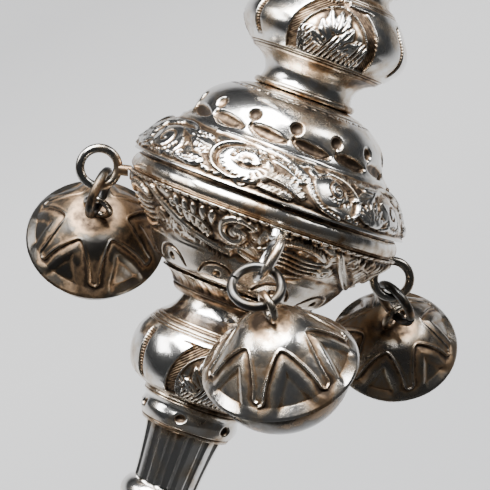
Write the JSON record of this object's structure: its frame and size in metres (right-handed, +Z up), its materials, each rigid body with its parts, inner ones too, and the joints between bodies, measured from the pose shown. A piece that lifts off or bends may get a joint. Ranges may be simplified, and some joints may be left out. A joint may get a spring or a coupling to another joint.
{
  "type": "baby rattle",
  "caption": "Silver baby rattle: a chased hollow body with a whistle above and a teether handle below, and small jingle bells hung round it on wire rings.",
  "frame": {"origin": "middle of the handle's grip, on the rattle's axis", "axes": "+Z up; +X runs uphill along the rattle, which is held with its axis 34 degrees above the horizontal, whistle end up; +Y to the left of that"},
  "size_m": [0.1126, 0.0443, 0.0785],
  "materials": {
    "silver_chased": "polished silver, chased and embossed, dark brown tarnish in the recesses",
    "silver_plain": "polished plain silver with fine scratches",
    "silver_wire": "drawn silver wire, polished by wear",
    "silver_front_bell": "stamped silver, polished on the high spots",
    "silver_bells": "stamped silver with brown tarnish",
    "silver_pin": "plain silver, not polished",
    "pearl": "polished mother-of-pearl, softly banded"
  },
  "bodies": {
    "rattle": {"upper_shell": "silver_chased", "girdle_band": "silver_plain", "lower_shell": "silver_chased", "neck_collar": "silver_chased", "upper_neck": "silver_chased", "upper_knop": "silver_chased", "upper_waist": "silver_chased", "upper_flange": "silver_chased", "lower_collar": "silver_chased", "lower_neck": "silver_chased", "lower_knop": "silver_chased", "lower_flange": "silver_chased", "fluted_stem": "silver_chased", "fluted_ferrule": "silver_chased", "whistle_collar": "silver_plain", "whistle_tube": "silver_plain", "whistle_plug": "silver_plain", "mouthpiece_bead": "silver_plain", "ferrule_ring": "silver_chased", "handle_socket": "silver_chased", "teether_handle": "pearl", "handle_peg": "silver_pin", "front_body_ring": "silver_wire", "left_body_ring": "silver_wire", "right_body_ring": "silver_wire", "rear_body_ring": "silver_wire"},
    "front_link": {"front_link_ring": "silver_wire"},
    "front_bell": {"front_bell_loop": "silver_wire", "front_bell_dome": "silver_front_bell", "front_bell_cup": "silver_front_bell"},
    "front_pellet": {"front_bell_pellet": "silver_pin"},
    "left_link": {"left_link_ring": "silver_wire"},
    "left_bell": {"left_bell_loop": "silver_wire", "left_bell_dome": "silver_bells", "left_bell_cup": "silver_bells"},
    "left_pellet": {"left_bell_pellet": "silver_pin"},
    "right_link": {"right_link_ring": "silver_wire"},
    "right_bell": {"right_bell_loop": "silver_wire", "right_bell_dome": "silver_bells", "right_bell_cup": "silver_bells"},
    "right_pellet": {"right_bell_pellet": "silver_pin"},
    "rear_link": {"rear_link_ring": "silver_wire"},
    "rear_bell": {"rear_bell_loop": "silver_wire", "rear_bell_dome": "silver_bells", "rear_bell_cup": "silver_bells"},
    "rear_pellet": {"rear_bell_pellet": "silver_pin"}
  },
  "joints": [
    {"name": "front_link_swing", "type": "hinge", "parent": "rattle", "child": "front_link", "pos_m": [0.03639, -0.00542, 0.04335], "axis": [-0.0938, 0.3737, -0.9228], "range_deg": [-4, 40]},
    {"name": "front_bell_swing", "type": "hinge", "parent": "front_link", "child": "front_bell", "pos_m": [0.03375, -0.00718, 0.04367], "axis": [-0.7661, 0.6419, 0.0314], "range_deg": [-3, 40]},
    {"name": "front_pellet_jump", "type": "slide", "parent": "front_bell", "child": "front_pellet", "axis": [0.2106, 0.2695, 0.9397], "range_m": [0, 0.00737]},
    {"name": "left_link_swing", "type": "hinge", "parent": "rattle", "child": "left_link", "pos_m": [0.04324, 0.01475, 0.03661], "axis": [0.4966, -0.8622, -0.1], "range_deg": [-20, 14]},
    {"name": "left_bell_swing", "type": "hinge", "parent": "left_link", "child": "left_bell", "pos_m": [0.04316, 0.01511, 0.03316], "axis": [0.9992, 0.0334, -0.0202], "range_deg": [-3, 40]},
    {"name": "left_pellet_jump", "type": "slide", "parent": "left_bell", "child": "left_pellet", "axis": [0.0235, -0.1018, 0.9945], "range_m": [0, 0.00591]},
    {"name": "right_link_swing", "type": "hinge", "parent": "rattle", "child": "right_link", "pos_m": [0.04943, -0.01448, 0.02604], "axis": [-0.6281, 0.7775, -0.0314], "range_deg": [-30, 45]},
    {"name": "right_bell_swing", "type": "hinge", "parent": "right_link", "child": "right_bell", "pos_m": [0.04946, -0.0146, 0.02257], "axis": [-0.4397, -0.8977, 0.0271], "range_deg": [-40, 40]},
    {"name": "right_pellet_jump", "type": "slide", "parent": "right_bell", "child": "right_pellet", "axis": [-0.0079, 0.034, 0.9994], "range_m": [0, 0.00541]},
    {"name": "rear_link_swing", "type": "hinge", "parent": "rattle", "child": "rear_link", "pos_m": [0.05565, 0.00319, 0.01773], "axis": [-0.9941, -0.1081, 0], "range_deg": [-40, 40]},
    {"name": "rear_bell_swing", "type": "hinge", "parent": "rear_link", "child": "rear_bell", "pos_m": [0.05565, 0.00319, 0.01426], "axis": [-0.2385, -0.9711, 0], "range_deg": [-40, 40]},
    {"name": "rear_pellet_jump", "type": "slide", "parent": "rear_bell", "child": "rear_pellet", "axis": [0, 0, 1], "range_m": [0, 0.00591]}
  ]
}
